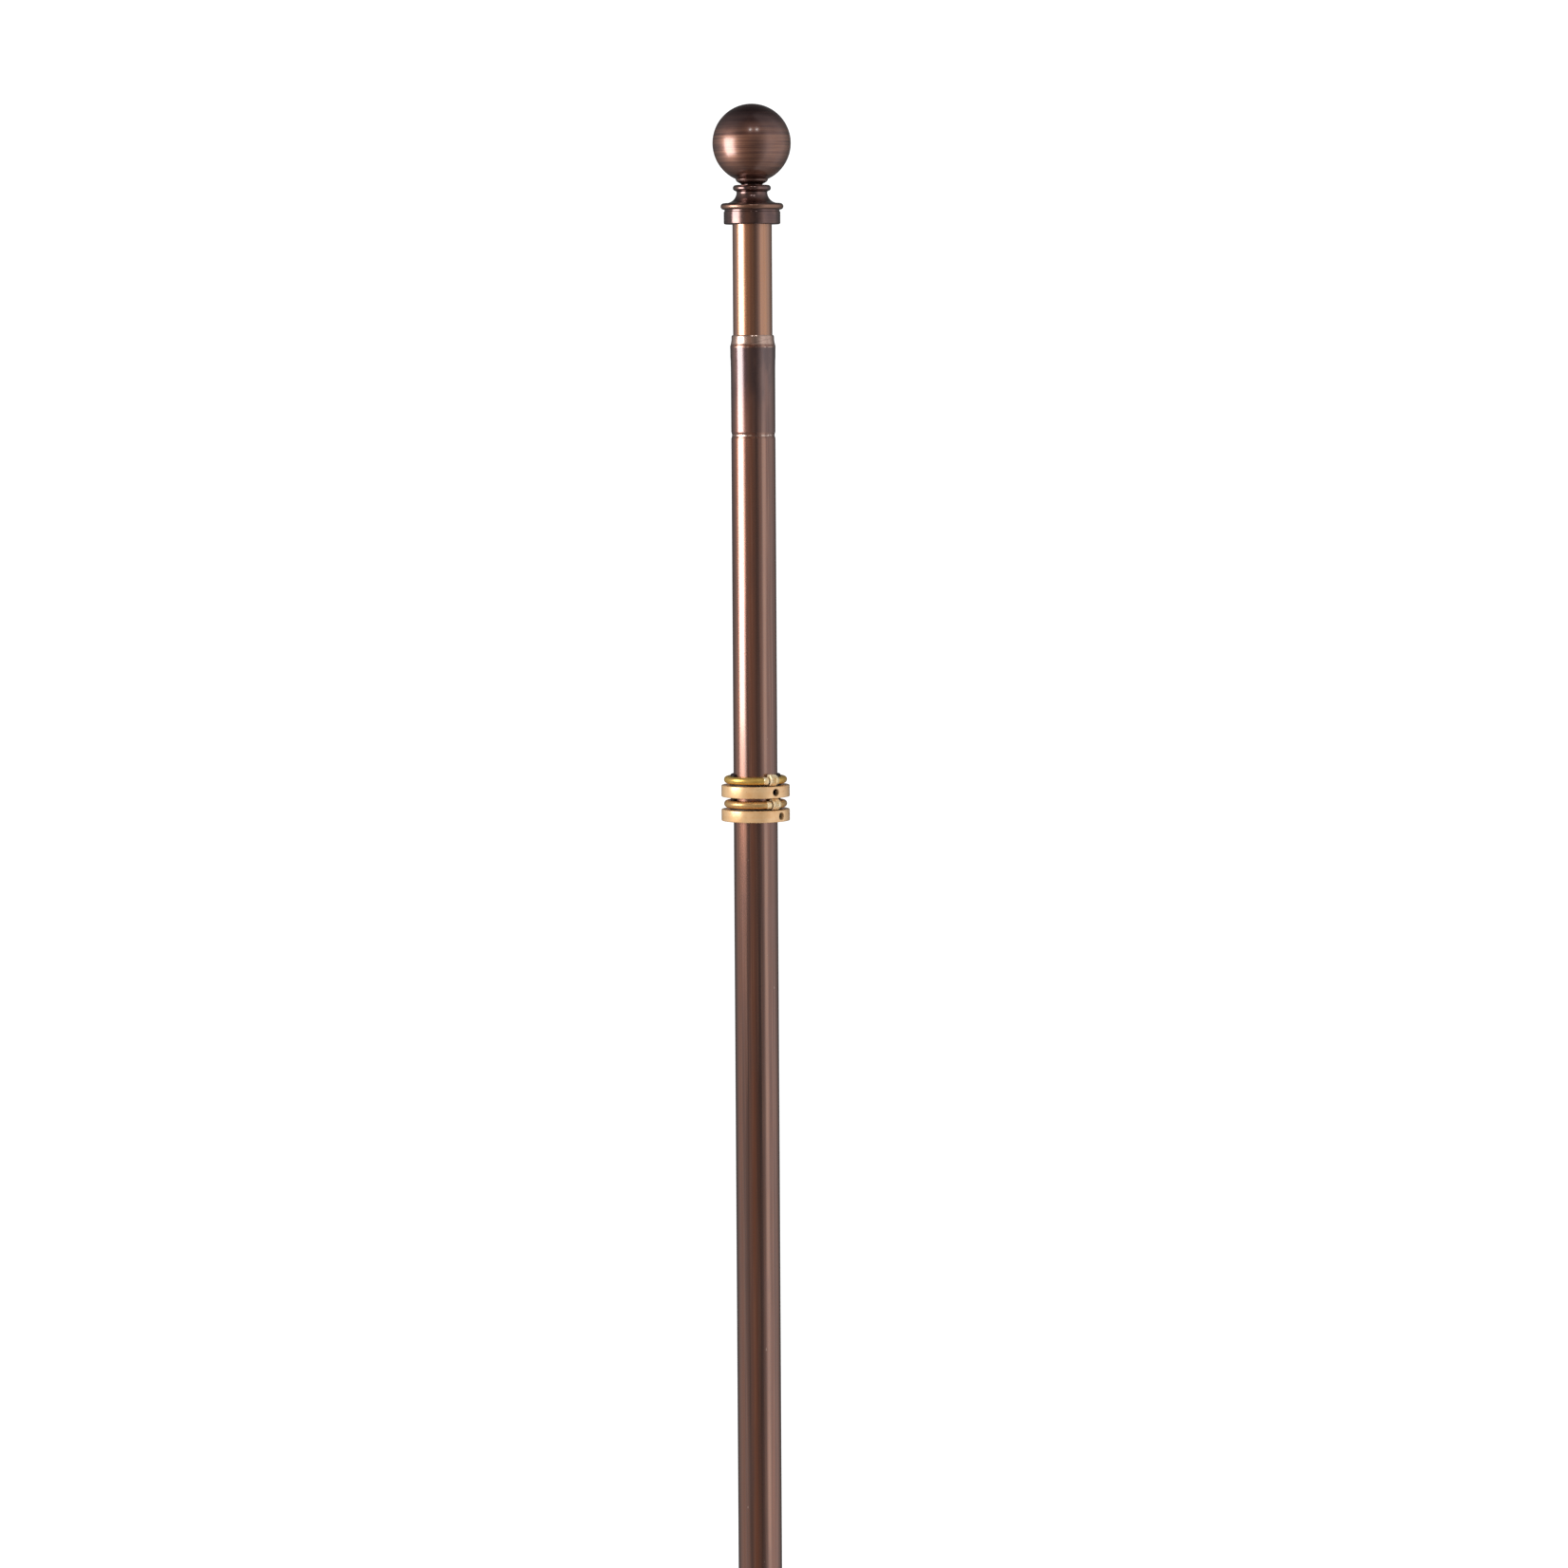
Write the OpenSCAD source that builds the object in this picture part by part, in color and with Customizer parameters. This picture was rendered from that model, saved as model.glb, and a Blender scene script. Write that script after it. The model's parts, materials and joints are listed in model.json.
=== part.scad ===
// Telescoping flag pole with a ball finial and two turning flag rings.
// Millimetres. +Z runs up the pole, and the origin is on its axis, under the foot plug.
// The front is -Y. A bearing of 0 is the front, and bearings grow towards +X.

/* [Outer tube] */
// Outside diameter of the outer tube
outer_d = 25.4; // [25:0.1:26]
// Wall of both tubes
tube_wall = 0.8; // [0.7:0.05:0.9]
// Height of the outer tube's lip above the foot
lip_z = 846.2; // [740:0.1:1000]
// Height of the stop groove that marks how deep the foot goes in its bracket
seat_z = 104.2; // [60:0.1:130]
// Drop from the lip to the rolled groove under the guide bush
bush_drop = 57.2; // [40:0.2:70]
// Width of both rolled grooves
groove_w = 4.6; // [3:0.2:6]
// Depth of both rolled grooves
groove_depth = 0.43; // [0.3:0.01:0.45]

/* [Inner tube] */
// Length of inner tube that shows between the lip and the finial
shown = 63; // [2:1:560]
// Length of inner tube below the finial
inner_length = 672; // [640:1:672]
// Radial room between the inner tube and the guide bush
bush_fit = 0.06; // [0.03:0.01:0.1]

/* [Finial] */
// Diameter of the ball
ball_d = 44.8; // [40:0.2:50]
// Wall of the hollow ball
ball_wall = 1.2; // [0.8:0.1:2]
// Diameter of the collar that caps the inner tube
cap_d = 32.4; // [29:0.2:34]
// Diameter of the flange bead above the collar
bead_d = 36; // [34:0.2:38]

/* [Twist lock] */
// How far the lock's eccentric stands off the pole axis
throw = 0.6; // [0.4:0.05:0.6]
// Height of the split friction ring
lock_h = 16; // [10:1:20]

/* [Flag rings] */
// Drop from the lip to the middle of the upper collar
set_drop = 261.6; // [200:0.1:500]
// Spacing of the two ring sets
set_pitch = 13.9; // [13.9:0.1:60]
// Height of a clamping collar
collar_h = 6.7; // [6:0.1:6.7]
// Outside diameter of a clamping collar
collar_d = 39.4; // [37:0.2:42]
// Diameter of a hoop's wire
hoop_wire_d = 4.2; // [4.1:0.1:4.3]
// Bearing of the upper collar's set screw
screw_bearing_a = 37; // [0:1:359]
// Bearing of the lower collar's set screw
screw_bearing_b = 50; // [0:1:359]
// Bearing of the upper hoop's clasp
clasp_bearing_a = 26; // [0:1:359]
// Bearing of the lower hoop's clasp
clasp_bearing_b = 32; // [0:1:359]

/* [Hidden] */
$fn = 96;

// Colours
copper = "#6b4438";
bright_copper = "#8a5b40";
dark_copper = "#4d332e";
gold = "#c79a52";
pale_gold = "#dfb27c";
steel = "#9a9a98";
nylon = "#1b1b1c";
acetal = "#d8d4c8";

// Outer tube
outer_r = outer_d / 2;
bore_r = outer_r - tube_wall;
foot_z = 3;
lip_gap = 0.15;
tube_step = 1.4;
inner_r = outer_r - tube_step;
inner_bore_r = inner_r - tube_wall;
neck_r = inner_r + lip_gap + tube_wall;
bush_z = lip_z - bush_drop;

// Finial heights, all above the bottom of the cap
cap_z = lip_z + shown;
cap_h = 7.4;
cap_web = 1.5;
cap_round = 1;
cap_step = 0.4;
step_h = 1;
flange_bead_r = 1.9;
flange_z = cap_h + step_h + flange_bead_r - 0.05;
cove_r = 6.2;
cove_z = 18.4;
waist_r = 8.8;
neck_bead_r = 1.75;
neck_bead_d = 21.8;
neck_bead_z = 20.7;
seat_top = 22.7;
seat_r = 5.8;
ball_lift = 1.1;
ball_z = seat_top + ball_lift + ball_d / 2;
boss_r = 6.5;
boss_h = 14;
stud_r = 3;
stud_room = 0.1;

// Twist lock, all below the bottom of the inner tube
plug_fit = 0.05;
plug_in = 28;
flange_h = 2;
lock_flange_r = bore_r - 0.2;
boss_lock_r = 7.6;
ring_room = throw;
ring_r = bore_r - 0.25;
ring_end_gap = 0.3;
ring_split = 2.5;
washer_h = 1.5;
washer_r = 10.8;
screw_r = 1.75;
screw_l = 12;
rivet_r = 1.5;
rivet_up = 14;
inner_z = cap_z - inner_length;
tube_in_cap = cap_h - cap_web;

// Flag rings, all above the middle of a collar
A = 0;
B = 1;
set_z = [lip_z - set_drop, lip_z - set_drop - set_pitch];
screw_turn = [screw_bearing_a - 90, screw_bearing_b - 90];
clasp_turn = [clasp_bearing_a - 90, clasp_bearing_b - 90];
sleeve_r = outer_r + 0.1;
core_r = sleeve_r + 0.6;
hoop_gap = 0.6;
hoop_lift = 1;
wire_r = hoop_wire_d / 2;
wire_bore_r = wire_r - 0.6;
hoop_r = core_r + hoop_gap + wire_r;
hoop_z = collar_h / 2 + hoop_lift + wire_r;
ledge_r = 14.9;
ledge_h = 0.75;
lug_r = core_r + 1;
lug_turn = 56;
lug_low = hoop_z + wire_r - 0.5;
lug_high = hoop_z + wire_r + 1.15;
press = 0.02;
edge = 0.5;
grub_r = 2;
grub_tip = outer_r + 0.1;
grub_l = 4.4;
hex_r = 1.15;
hex_depth = 2;

// Clasp angles round the hoop, counted from the face where it opens
socket_turn = 9.5;
opening_turn = 15;
slot_turn = 25;
slot_w = 1.4;
slider_from = 1.6;
slider_turn = 20;
slider_reach = 3.7;
slider_low = -wire_r - 0.6;
slider_high = wire_r + 1.65;
slider_clear = 0.1;
slider_room = 0.4;
slider_bevel = 1.5;
nose_turn = 4.5;
bolt_turn = 44.5;
bolt_r = wire_bore_r - 0.1;
pin_turn = 17.3;
pin_r = 0.6;
spring_turn = 44;
spring_coils = 10;
coil_r = 1.12;
coil_wire_r = 0.22;
coil_points = 10;
coil_sides = 6;
stop_turn = 5;

// Half of a lathe profile, cut off at the axis
module right_half(size) {
    intersection() {
        children();
        translate([0, -size]) square([size, 2 * size]);
    }
}

// Plain tube or ring between two heights
module tube(r_out, r_in, z_low, z_high) {
    translate([0, 0, z_low]) rotate_extrude()
        translate([r_in, 0]) square([r_out - r_in, z_high - z_low]);
}

// Points of a rolled groove, as a cosine dip in a wall of radius r
function rolled(r, z) = [
    for (step = [0 : 8])
        [
            r - groove_depth * (1 - cos(45 * step)) / 2,
            z + groove_w * (step / 8 - 0.5)
        ]
];

// Swaged end of the outer tube: radii and drops from the lip, lowest point first
function swage(thin) = [
    [outer_r + 0.04 - thin, lip_z - 20],
    [outer_r + 0.12 - thin, lip_z - 14.6],
    [outer_r + 0.26 - thin, lip_z - 12.4],
    [outer_r + 0.27 - thin, lip_z - 8.1],
    [outer_r + 0.35 - thin, lip_z - 6.9],
    [outer_r + 0.28 - thin, lip_z - 6.1],
    [outer_r + 0.05 - thin, lip_z - 5.4],
    [outer_r - 0.1 - thin, lip_z - 4.8],
    [neck_r + 0.17 - thin, lip_z - 3.8],
    [neck_r - thin, lip_z - 2.6]
];

module outer_tube() {
    outside = concat(
        [[outer_r, foot_z]],
        rolled(outer_r, seat_z),
        rolled(outer_r, bush_z),
        swage(0),
        [[neck_r - 0.03, lip_z - 1], [neck_r - 0.15, lip_z - 0.5], [neck_r - 0.4, lip_z]]
    );
    inside = concat(
        [[bore_r, foot_z]],
        rolled(bore_r, seat_z),
        rolled(bore_r, bush_z),
        swage(tube_wall),
        [[neck_r - tube_wall, lip_z]]
    );
    last = len(inside) - 1;
    reversed = [for (i = [last : -1 : 0]) inside[i]];
    color(copper) rotate_extrude() polygon(concat(outside, reversed));
}

module foot_plug() {
    skirt_z = 24;
    skirt_wall = 2;
    rib_r = 0.5;
    rib_stand = 0.25;
    round_r = 0.8;
    head_r = outer_r - 0.1;
    color(nylon) rotate_extrude() difference() {
        union() {
            translate([0, round_r]) square([head_r, foot_z - round_r]);
            square([head_r - round_r, foot_z]);
            translate([head_r - round_r, round_r]) circle(r = round_r);
            square([bore_r - plug_fit - rib_stand, skirt_z]);
            for (z = [8, 14, 20])
                translate([bore_r - plug_fit - rib_r, z]) circle(r = rib_r);
        }
        translate([-1, foot_z]) square([bore_r - skirt_wall + 1, skirt_z]);
        translate([-2, -1]) square([2, skirt_z + 2]);
    }
}

// Thin bush between the rolled groove and the swaged neck
module guide_bush() {
    r_in = inner_r + bush_fit;
    low_z = bush_z + groove_w / 2 + 0.3;
    high_z = lip_z - 7;
    chamfer = 0.3;
    fit = tube_wall + 0.05;
    color(nylon) rotate_extrude() polygon([
        [r_in, low_z],
        [outer_r - fit, low_z],
        [outer_r + 0.04 - fit, lip_z - 20],
        [outer_r + 0.12 - fit, lip_z - 14.6],
        [outer_r + 0.26 - fit, lip_z - 12.4],
        [outer_r + 0.27 - fit, lip_z - 8.1],
        [outer_r + 0.27 - fit, high_z],
        [r_in + chamfer, high_z],
        [r_in, high_z - chamfer]
    ]);
}

module inner_tube() {
    color(bright_copper) difference() {
        tube(inner_r, inner_bore_r, inner_z, cap_z + tube_in_cap);
        translate([0, 0, inner_z + rivet_up]) rotate([90, 0, 0])
            cylinder(r = rivet_r, h = 2 * outer_d, center = true);
    }
}

// Pressed plug that takes the finial's stud
module tube_plug() {
    plug_l = 18;
    land = 6;
    relief = 0.6;
    lead_in = 1;
    top_z = cap_z + tube_in_cap;
    r = inner_bore_r - plug_fit;
    color(steel) translate([0, 0, top_z - plug_l]) rotate_extrude() polygon([
        [stud_r, 0],
        [r - lead_in, 0],
        [r, lead_in],
        [r, land],
        [r - relief, land + relief],
        [r - relief, plug_l - land - relief],
        [r, plug_l - land],
        [r, plug_l],
        [stud_r, plug_l]
    ]);
}

module finial_stud() {
    low_z = cap_z - 9;
    high_z = cap_z + seat_top + 12;
    end_cut = 0.7;
    color(steel) rotate_extrude() polygon([
        [0, low_z],
        [stud_r - end_cut, low_z],
        [stud_r, low_z + end_cut],
        [stud_r, high_z - end_cut],
        [stud_r - end_cut, high_z],
        [0, high_z]
    ]);
}

// Cup that sits over the top of the inner tube
module finial_cap() {
    r = cap_d / 2;
    color(dark_copper) translate([0, 0, cap_z]) rotate_extrude() difference() {
        union() {
            translate([0, cap_round]) square([r, cap_h - cap_round - cap_step]);
            translate([0, cap_round]) square([r - cap_step, cap_h - cap_round]);
            translate([r - cap_round, cap_round]) circle(r = cap_round);
            square([r - cap_round, cap_round]);
        }
        translate([-1, -1]) square([inner_r + press + 1, tube_in_cap + 1]);
        translate([-1, -1]) square([stud_r + stud_room + 1, cap_h + 2]);
    }
}

// Turned neck: flange bead, cove and small bead
module finial_neck() {
    cove_mid = waist_r + cove_r;
    cove_low = flange_z + flange_bead_r / 2;
    cove_land = 0.6;
    flange_mid = bead_d / 2 - flange_bead_r;
    bead_mid = neck_bead_d / 2 - neck_bead_r;
    color(dark_copper) translate([0, 0, cap_z]) rotate_extrude() difference() {
        union() {
            translate([0, cap_h]) square([cap_d / 2 - cap_step, step_h]);
            translate([0, cap_h + step_h]) square([flange_mid, 2 * flange_bead_r - 0.1]);
            translate([flange_mid, flange_z]) circle(r = flange_bead_r);
            difference() {
                translate([0, cove_low]) square([cove_mid - cove_land, cove_z - cove_low]);
                translate([cove_mid, cove_z]) circle(r = cove_r);
            }
            translate([0, cove_z - 0.1]) square([waist_r, neck_bead_z - cove_z]);
            translate([bead_mid, neck_bead_z]) circle(r = neck_bead_r);
            translate([0, neck_bead_z - neck_bead_r]) square([bead_mid, 2 * neck_bead_r]);
            translate([0, neck_bead_z]) square([seat_r, seat_top - neck_bead_z]);
        }
        translate([-1, 0]) square([stud_r + stud_room + 1, seat_top + 1]);
    }
}

// Foot of the ball: radii and heights above its seat
foot = [
    [0, 0], [6, 0], [6.5, 0.4], [7.2, 0.8], [7.9, 1.2], [8.5, 1.6],
    [8.95, 2.1], [9.2, 2.6], [9.3, 3.2], [0, 4]
];

// Hollow spun ball on its foot, with a tapped boss inside
module finial_ball() {
    r = ball_d / 2;
    color(copper) translate([0, 0, cap_z]) rotate_extrude() difference() {
        right_half(2 * ball_d) union() {
            difference() {
                union() {
                    translate([0, ball_z]) circle(r = r);
                    translate([0, seat_top]) polygon(foot);
                }
                translate([0, ball_z]) circle(r = r - ball_wall);
            }
            translate([0, seat_top + 1]) square([boss_r, boss_h]);
        }
        translate([-1, 0]) square([stud_r + 1, seat_top + boss_h + 2]);
    }
}

// Plug in the bottom of the inner tube, with the eccentric that works the lock
module lock_plug() {
    r = inner_bore_r - plug_fit;
    color(acetal) difference() {
        union() {
            translate([0, 0, inner_z - 0.01]) cylinder(r = r, h = plug_in);
            translate([0, 0, inner_z - flange_h]) cylinder(r = lock_flange_r, h = flange_h);
            translate([throw, 0, inner_z - flange_h - lock_h]) cylinder(r = boss_lock_r, h = lock_h + 0.01);
        }
        translate([0, 0, inner_z + rivet_up]) rotate([90, 0, 0])
            cylinder(r = rivet_r, h = 2 * outer_d, center = true);
        translate([0, 0, inner_z - flange_h - lock_h - 1])
            cylinder(r = screw_r, h = screw_l + 1);
    }
}

module lock_rivet() {
    half = inner_r - 0.05;
    dimple_r = 0.7;
    dimple_depth = 1.5;
    color(steel) translate([0, 0, inner_z + rivet_up]) rotate([90, 0, 0]) difference() {
        cylinder(r = rivet_r, h = 2 * half, center = true);
        for (side = [-1, 1])
            translate([0, 0, side * half]) cylinder(r = dimple_r, h = 2 * dimple_depth, center = true);
    }
}

// Split ring that the eccentric pushes against the outer tube's wall
module lock_ring() {
    h = lock_h - 2 * ring_end_gap;
    oil_groove_h = 1;
    oil_groove_depth = 0.4;
    color(nylon) translate([0, 0, inner_z - flange_h - lock_h + ring_end_gap]) difference() {
        cylinder(r = ring_r, h = h);
        translate([throw, 0, -1]) cylinder(r = boss_lock_r + ring_room, h = h + 2);
        translate([0, -ring_split / 2, -1]) cube([outer_d, ring_split, h + 2]);
        for (z = [h / 4, h / 2, 3 * h / 4])
            tube(outer_d, ring_r - oil_groove_depth, z - oil_groove_h / 2, z + oil_groove_h / 2);
    }
}

module lock_washer() {
    top_z = inner_z - flange_h - lock_h;
    color(steel) tube(washer_r, screw_r + 0.15, top_z - washer_h, top_z);
}

module lock_screw() {
    top_z = inner_z - flange_h - lock_h - washer_h;
    head_r = 3.2;
    head_h = 2.2;
    slot_l = 3.6;
    slot_across = 0.9;
    slot_depth = 1.2;
    color(steel) difference() {
        union() {
            translate([0, 0, top_z - 0.01]) cylinder(r = screw_r, h = screw_l);
            translate([0, 0, top_z - head_h]) cylinder(r = head_r, h = head_h);
        }
        for (turn = [0, 90])
            translate([0, 0, top_z - head_h]) rotate(turn)
                cube([slot_l, slot_across, 2 * slot_depth], center = true);
    }
}

// Black spool that the hoop turns on, with a ledge under the hoop and two snap lugs over it
module ring_sleeve(set) {
    half = collar_h / 2;
    low = 0.15 - half;
    core_high = hoop_z + 1.2;
    bevel = 0.35;
    color(nylon) translate([0, 0, set_z[set]]) difference() {
        union() {
            rotate_extrude() polygon([
                [sleeve_r, low],
                [core_r, low],
                [core_r, half],
                [ledge_r, half],
                [ledge_r, half + ledge_h],
                [core_r, half + ledge_h],
                [core_r, core_high],
                [sleeve_r, core_high]
            ]);
            for (side = [0, 180])
                rotate_extrude(angle = lug_turn, start = side - lug_turn / 2) polygon([
                    [sleeve_r, hoop_z],
                    [core_r, hoop_z],
                    [core_r, lug_low],
                    [lug_r, lug_low],
                    [lug_r, lug_high - bevel],
                    [lug_r - bevel, lug_high],
                    [sleeve_r, lug_high]
                ]);
        }
        rotate([0, 90, screw_turn[set]]) cylinder(r = grub_r + 0.2, h = outer_d);
    }
}

// Clamping collar with a tapped hole for its set screw
module ring_collar(set) {
    r = collar_d / 2;
    half = collar_h / 2;
    color(pale_gold) translate([0, 0, set_z[set]]) difference() {
        rotate_extrude() difference() {
            union() {
                translate([0, edge - half]) square([r, collar_h - 2 * edge]);
                translate([0, -half]) square([r - edge, collar_h]);
                for (z = [edge - half, half - edge])
                    translate([r - edge, z]) circle(r = edge);
            }
            translate([-1, -collar_h]) square([core_r + press + 1, 2 * collar_h]);
        }
        rotate([0, 90, screw_turn[set]]) cylinder(r = grub_r + 0.05, h = collar_d);
    }
}

module ring_set_screw(set) {
    color(steel) translate([0, 0, set_z[set]]) rotate([0, 90, screw_turn[set]]) difference() {
        translate([0, 0, grub_tip]) cylinder(r = grub_r, h = grub_l);
        translate([0, 0, grub_tip + grub_l - hex_depth]) cylinder(r = hex_r, h = hex_depth + 1, $fn = 6);
    }
}

// Puts a clasp piece on its hoop's centre circle
module on_hoop(set) {
    translate([0, 0, set_z[set] + hoop_z]) rotate(clasp_turn[set]) children();
}

// Round bar bent along the hoop's centre circle
module bent_bar(r_out, r_in, from, turn) {
    rotate_extrude(angle = turn, start = from) translate([hoop_r, 0]) difference() {
        circle(r = r_out);
        if (r_in > 0) circle(r = r_in);
    }
}

// Tubular hoop, open at the clasp, with a slot under it for the slider's pin
module ring_hoop(set) {
    color(gold) on_hoop(set) difference() {
        bent_bar(wire_r, wire_bore_r, opening_turn, 360 - opening_turn - socket_turn);
        rotate_extrude(angle = slot_turn + 5, start = opening_turn - 5)
            translate([hoop_r - slot_w / 2, -2 * wire_r]) square([slot_w, 2 * wire_r]);
    }
}

// Plugged end of the hoop, with the socket that the bolt's nose enters
module ring_socket(set) {
    spigot_turn = 5;
    color(pale_gold) on_hoop(set) union() {
        bent_bar(wire_r + 0.15, wire_bore_r, -nose_turn - 1, nose_turn + 1);
        bent_bar(wire_r + 0.15, 0, -socket_turn, socket_turn - nose_turn - 0.99);
        bent_bar(wire_bore_r - press, 0, -socket_turn - spigot_turn, spigot_turn + 0.01);
    }
}

// Curved bolt that crosses the opening
module ring_bolt(set) {
    color(steel) on_hoop(set) difference() {
        bent_bar(bolt_r, 0, -nose_turn, bolt_turn);
        rotate(pin_turn) translate([hoop_r, 0, -wire_r - 2]) cylinder(r = pin_r, h = wire_r + 2.5);
    }
}

// Faceted thumb slider round the hoop's end
module ring_slider(set) {
    corner = 2;
    over = lug_r + slider_room - hoop_r;
    under = ledge_r + slider_room - hoop_r;
    facets = [
        [under, slider_low],
        [slider_reach - corner, slider_low],
        [slider_reach, slider_low + corner],
        [slider_reach, slider_high - corner],
        [slider_reach - corner, slider_high],
        [over, slider_high],
        [over, 0],
        [under, 0]
    ];
    color(gold) on_hoop(set) difference() {
        rotate_extrude(angle = slider_turn, start = slider_from) translate([hoop_r, 0]) polygon(facets);
        rotate_extrude() translate([hoop_r, 0]) circle(r = wire_r + slider_clear);
        rotate(pin_turn) translate([hoop_r, 0, -2 * wire_r]) cylinder(r = pin_r, h = 2 * wire_r);
        for (end = [0, 1]) {
            across = slider_from + end * slider_turn;
            lean = end == 0 ? 1 : -1;
            rotate(across) translate([hoop_r + slider_reach, 0, 0]) rotate(lean * 40)
                cube([2 * slider_bevel, slider_bevel, 3 * hoop_wire_d], center = true);
            rotate(across) translate([hoop_r, 0, slider_high]) rotate([lean * 35, 0, 0])
                cube([3 * hoop_wire_d, 2.4 * slider_bevel, slider_bevel], center = true);
        }
    }
}

// Pin that ties the slider to the bolt through the hoop's slot
module ring_pin(set) {
    color(steel) on_hoop(set) rotate(pin_turn) translate([hoop_r, 0, slider_low + 0.1])
        cylinder(r = pin_r, h = 0.4 - slider_low);
}

// Point of the spring's wire centre line, and the direction out from the coil's axis
function coil_out(turn, phase) = [
    cos(phase) * cos(turn),
    cos(phase) * sin(turn),
    sin(phase)
];
function coil_mid(turn) = [hoop_r * cos(turn), hoop_r * sin(turn), 0];

// Coil spring bent along the hoop, as one swept wire
module ring_spring(set) {
    rings = spring_coils * coil_points;
    from = bolt_turn - nose_turn + 0.3;
    wire = [
        for (i = [0 : rings], j = [0 : coil_sides - 1])
            let (
                turn = from + spring_turn * i / rings,
                phase = 360 * i / coil_points,
                out = coil_out(turn, phase),
                along = [-sin(turn), cos(turn), 0],
                a = 360 * j / coil_sides
            )
            coil_mid(turn) + out * (coil_r + coil_wire_r * cos(a)) + along * coil_wire_r * sin(a)
    ];
    sides = [
        for (i = [0 : rings - 1], j = [0 : coil_sides - 1])
            let (k = (j + 1) % coil_sides, low = i * coil_sides, high = (i + 1) * coil_sides)
            [low + j, low + k, high + k, high + j]
    ];
    first_end = [for (j = [coil_sides - 1 : -1 : 0]) j];
    last_end = [for (j = [0 : coil_sides - 1]) rings * coil_sides + j];
    color(steel) on_hoop(set) polyhedron(wire, concat(sides, [first_end], [last_end]));
}

// Plug in the hoop that the spring pushes against
module ring_stop(set) {
    from = bolt_turn - nose_turn + spring_turn + 0.6;
    color(steel) on_hoop(set) bent_bar(wire_bore_r - press, 0, from, stop_turn);
}

outer_tube();
foot_plug();
guide_bush();
inner_tube();
tube_plug();
finial_stud();
finial_cap();
finial_neck();
finial_ball();
lock_plug();
lock_rivet();
lock_ring();
lock_washer();
lock_screw();
ring_sleeve(A);  // ring_a_sleeve
ring_collar(A);  // ring_a_collar
ring_set_screw(A);  // ring_a_set_screw
ring_hoop(A);  // ring_a_hoop
ring_socket(A);  // ring_a_socket
ring_bolt(A);  // ring_a_bolt
ring_slider(A);  // ring_a_slider
ring_pin(A);  // ring_a_pin
ring_spring(A);  // ring_a_spring
ring_stop(A);  // ring_a_stop
ring_sleeve(B);  // ring_b_sleeve
ring_collar(B);  // ring_b_collar
ring_set_screw(B);  // ring_b_set_screw
ring_hoop(B);  // ring_b_hoop
ring_socket(B);  // ring_b_socket
ring_bolt(B);  // ring_b_bolt
ring_slider(B);  // ring_b_slider
ring_pin(B);  // ring_b_pin
ring_spring(B);  // ring_b_spring
ring_stop(B);  // ring_b_stop
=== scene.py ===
"""Looks of a telescoping flag pole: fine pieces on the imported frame, their finishes, a pale floor,
studio light and a camera. Shapes are in millimetres up from the foot. Blender's units are metres."""
import json
import math

import bmesh
import bpy
from mathutils import Matrix, Vector

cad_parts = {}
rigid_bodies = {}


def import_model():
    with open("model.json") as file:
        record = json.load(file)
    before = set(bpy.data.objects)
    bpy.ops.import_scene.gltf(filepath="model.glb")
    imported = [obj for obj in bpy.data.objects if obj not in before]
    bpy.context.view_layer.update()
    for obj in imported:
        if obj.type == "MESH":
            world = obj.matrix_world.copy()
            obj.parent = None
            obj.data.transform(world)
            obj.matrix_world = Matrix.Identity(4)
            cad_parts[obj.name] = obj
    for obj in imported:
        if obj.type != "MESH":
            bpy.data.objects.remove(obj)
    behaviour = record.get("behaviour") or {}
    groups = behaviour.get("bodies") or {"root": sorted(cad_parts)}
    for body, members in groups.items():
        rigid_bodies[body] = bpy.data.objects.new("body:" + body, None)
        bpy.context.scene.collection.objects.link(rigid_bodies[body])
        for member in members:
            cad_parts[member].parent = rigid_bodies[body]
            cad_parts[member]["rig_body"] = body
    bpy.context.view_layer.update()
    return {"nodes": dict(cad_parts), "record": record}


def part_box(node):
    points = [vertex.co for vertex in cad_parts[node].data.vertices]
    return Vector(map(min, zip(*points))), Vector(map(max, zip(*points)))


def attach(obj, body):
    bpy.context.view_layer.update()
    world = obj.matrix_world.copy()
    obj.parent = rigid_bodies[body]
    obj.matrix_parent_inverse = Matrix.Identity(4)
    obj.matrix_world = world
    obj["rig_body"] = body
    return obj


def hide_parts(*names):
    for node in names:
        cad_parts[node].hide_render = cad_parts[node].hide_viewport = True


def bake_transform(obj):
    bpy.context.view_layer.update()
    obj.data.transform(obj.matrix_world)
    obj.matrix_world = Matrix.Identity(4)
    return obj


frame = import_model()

MM = 0.001
# Steps round a turned piece
ROUND = 160


def top(node):
    """Height of a CAD node's top in millimetres."""
    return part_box(node)[1].z / MM


def bottom(node):
    """Height of a CAD node's underside in millimetres."""
    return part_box(node)[0].z / MM


# ---- Sizes, in millimetres -------------------------------------------------------------------------------
OUTER_R = 12.7
WALL = 0.8
BORE_R = OUTER_R - WALL
INNER_R = OUTER_R - 1.4
LIP_Z = top("outer_tube")
FOOT_Z = bottom("outer_tube")
SEAT_Z = 104.2
BUSH_Z = LIP_Z - 57.2
GROOVE_W = 4.6
GROOVE_DEPTH = 0.43
NECK_R = INNER_R + 0.15 + WALL
INNER_Z = bottom("inner_tube")
INNER_TOP = top("inner_tube")
RIVET_Z = INNER_Z + 14
RIVET_R = 1.5

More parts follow.
